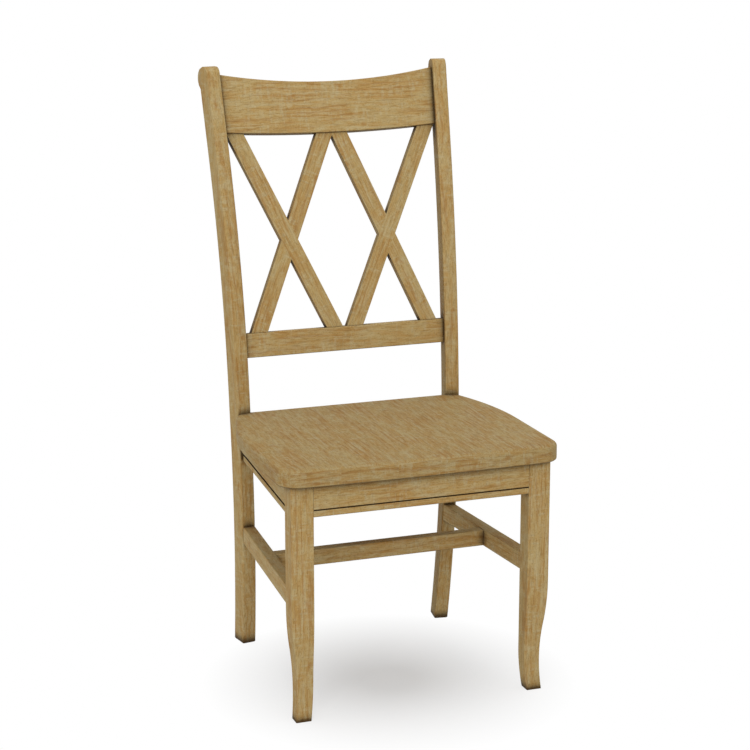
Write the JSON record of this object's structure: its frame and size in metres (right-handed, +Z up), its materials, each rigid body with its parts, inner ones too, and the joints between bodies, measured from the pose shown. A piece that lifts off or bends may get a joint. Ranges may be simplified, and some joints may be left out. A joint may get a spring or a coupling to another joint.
{
  "type": "cross back dining chair",
  "caption": "Wooden side chair with a shaped plank seat, curved splayed back posts, crossed back slats, sabre-footed front legs and an H stretcher.",
  "frame": {"origin": "on the floor, at the centre of the chair's bounding box seen from above", "axes": "+Z up, -Y towards the front edge of the seat, +X to the right as seen from the front"},
  "size_m": [0.514, 0.5539, 1.079],
  "materials": {
    "frame_wood": "wire-brushed, distressed satin, grain along each piece",
    "seat_wood": "wire-brushed, distressed satin, grain front to back",
    "dowel_wood": "plain turned",
    "screw_steel": "zinc plated"
  },
  "bodies": {
    "root": {"back_rail_dowels": "dowel_wood", "crest_dowels": "dowel_wood", "crest_rail": "frame_wood", "cross_stretcher": "frame_wood", "cross_stretcher_dowels": "dowel_wood", "front_apron": "frame_wood", "front_apron_dowels": "dowel_wood", "front_corner_block_left": "frame_wood", "front_corner_block_right": "frame_wood", "front_leg_left": "frame_wood", "front_leg_right": "frame_wood", "inner_slat_left": "frame_wood", "inner_slat_right": "frame_wood", "lower_back_rail": "frame_wood", "outer_slat_left": "frame_wood", "outer_slat_right": "frame_wood", "rear_apron": "frame_wood", "rear_apron_dowels": "dowel_wood", "rear_corner_block_left": "frame_wood", "rear_corner_block_right": "frame_wood", "rear_leg_left": "frame_wood", "rear_leg_right": "frame_wood", "seat_board_1": "seat_wood", "seat_board_2": "seat_wood", "seat_board_3": "seat_wood", "seat_board_4": "seat_wood", "seat_board_5": "seat_wood", "seat_screws": "screw_steel", "side_apron_dowels": "dowel_wood", "side_apron_left": "frame_wood", "side_apron_right": "frame_wood", "side_stretcher_dowels": "dowel_wood", "side_stretcher_left": "frame_wood", "side_stretcher_right": "frame_wood"}
  },
  "joints": []
}
